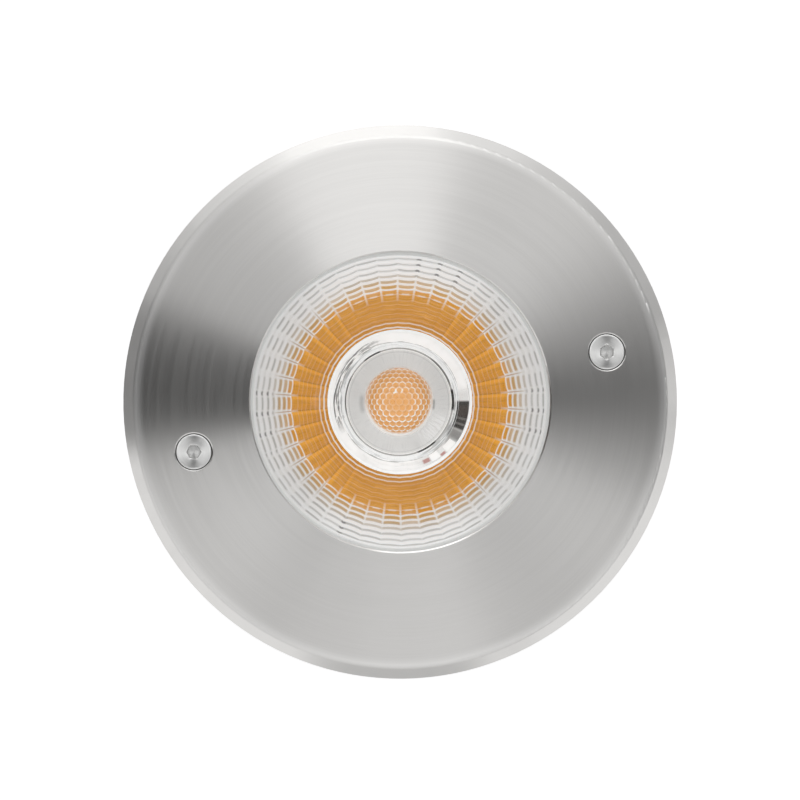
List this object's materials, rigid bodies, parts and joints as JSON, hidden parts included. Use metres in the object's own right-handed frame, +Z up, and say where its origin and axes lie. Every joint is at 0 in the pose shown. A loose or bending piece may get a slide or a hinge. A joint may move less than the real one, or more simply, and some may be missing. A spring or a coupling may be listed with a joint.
{
  "type": "well light",
  "caption": "In-ground well light: bevelled stainless cover ring screwed over a round window and faceted optic, on a sealed finned lamp body in a ground sleeve.",
  "frame": {"origin": "centre of the sleeve's foot, on the surface that the sleeve stands on", "axes": "+Z up along the axis of the lamp, +X through the right-hand cover screw"},
  "size_m": [0.114, 0.114, 0.1183],
  "materials": {
    "sleeve_plastic": "black moulded composite, fine texture",
    "seal_rubber": "matt black rubber",
    "cast_aluminium": "die-cast, lightly blasted",
    "brass": "turned brass",
    "nickel_brass": "nickel-plated brass",
    "cover_steel": "stainless, brushed in circles round the window",
    "screw_steel": "stainless, turned face",
    "spring_steel": "spring steel",
    "window_glass": "clear toughened glass",
    "silicone": "translucent white silicone",
    "optic_clear": "clear moulded optic showing the amber phosphor",
    "holder_plastic": "black glass-filled plastic",
    "clamp_plastic": "white plastic",
    "chip_ceramic": "white alumina board",
    "phosphor": "yellow phosphor silicone",
    "heat_pad": "grey thermal pad",
    "red_wire": "red insulation",
    "black_wire": "black insulation",
    "board_laminate": "green solder mask on laminate",
    "steel_fixings": "zinc-plated steel",
    "ferrite": "dark grey ferrite",
    "winding_tape": "yellow polyester tape",
    "capacitor_sleeve": "dark shrink sleeve with a bare top",
    "epoxy_black": "black moulded epoxy",
    "varistor_blue": "blue epoxy dip",
    "terminal_green": "green terminal housing"
  },
  "bodies": {
    "ground_sleeve": {"ground_sleeve": "sleeve_plastic", "sleeve_base": "sleeve_plastic", "ledge_gasket": "seal_rubber"},
    "lamp_unit": {"lamp_body": "cast_aluminium", "cooling_fins": "cast_aluminium", "thread_inserts": "brass", "window_glass": "window_glass", "glass_gasket": "silicone", "collimator_optic": "optic_clear", "optic_holder": "holder_plastic", "heat_pad": "heat_pad", "chip_board": "chip_ceramic", "phosphor_disc": "phosphor", "chip_clamp": "clamp_plastic", "clamp_screws": "steel_fixings", "red_lead": "red_wire", "black_lead": "black_wire", "driver_board": "board_laminate", "board_screws": "steel_fixings", "transformer_core": "ferrite", "transformer_winding": "winding_tape", "input_capacitor": "capacitor_sleeve", "output_capacitor": "capacitor_sleeve", "bridge_rectifier": "epoxy_black", "control_chip": "epoxy_black", "surge_varistor": "varistor_blue", "filter_choke": "ferrite", "terminal_block": "terminal_green", "terminal_screws": "steel_fixings", "rear_cover": "cast_aluminium", "rear_seal": "seal_rubber", "rear_screws": "screw_steel", "spring_clips": "spring_steel", "spring_screws": "screw_steel", "gland_body": "nickel_brass", "gland_washer": "seal_rubber", "gland_locknut": "nickel_brass"},
    "cover": {"cover_ring": "cover_steel"},
    "retaining_ring_left": {"retaining_ring_left": "spring_steel"},
    "retaining_ring_right": {"retaining_ring_right": "spring_steel"},
    "cover_screw_left": {"cover_screw_left": "screw_steel"},
    "cover_screw_right": {"cover_screw_right": "screw_steel"},
    "gland_seal": {"gland_seal": "seal_rubber"},
    "gland_nut": {"gland_nut": "nickel_brass"}
  },
  "joints": [
    {"name": "lamp_unit_lift", "type": "slide", "parent": "ground_sleeve", "child": "lamp_unit", "axis": [0, 0, 1], "range_m": [0, 0.11]},
    {"name": "cover_lift", "type": "slide", "parent": "lamp_unit", "child": "cover", "axis": [0, 0, 1], "range_m": [0, 0.03]},
    {"name": "cover_screw_left_rise", "type": "slide", "parent": "cover", "child": "retaining_ring_left", "axis": [0, 0, 1], "range_m": [0, 0.007]},
    {"name": "cover_screw_left_turn", "type": "hinge", "parent": "retaining_ring_left", "child": "cover_screw_left", "pos_m": [-0.0437, 0, 0.1183], "axis": [0, 0, 1], "range_deg": [0, 3600]},
    {"name": "cover_screw_right_rise", "type": "slide", "parent": "cover", "child": "retaining_ring_right", "axis": [0, 0, 1], "range_m": [0, 0.007]},
    {"name": "cover_screw_right_turn", "type": "hinge", "parent": "retaining_ring_right", "child": "cover_screw_right", "pos_m": [0.0437, 0, 0.1183], "axis": [0, 0, 1], "range_deg": [0, 3600]},
    {"name": "gland_seal_drop", "type": "slide", "parent": "lamp_unit", "child": "gland_seal", "axis": [0, 0, -1], "range_m": [0, 0.006]},
    {"name": "gland_nut_turn", "type": "hinge", "parent": "gland_seal", "child": "gland_nut", "pos_m": [0, 0, 0.014], "axis": [0, 0, -1], "range_deg": [0, 1440]}
  ],
  "couplings": [
    {"joint": "cover_screw_left_turn", "follows": "cover_screw_left_rise", "rad_per_m": 8976},
    {"joint": "cover_screw_right_turn", "follows": "cover_screw_right_rise", "rad_per_m": 8976},
    {"joint": "gland_nut_turn", "follows": "gland_seal_drop", "rad_per_m": 4188.8}
  ]
}
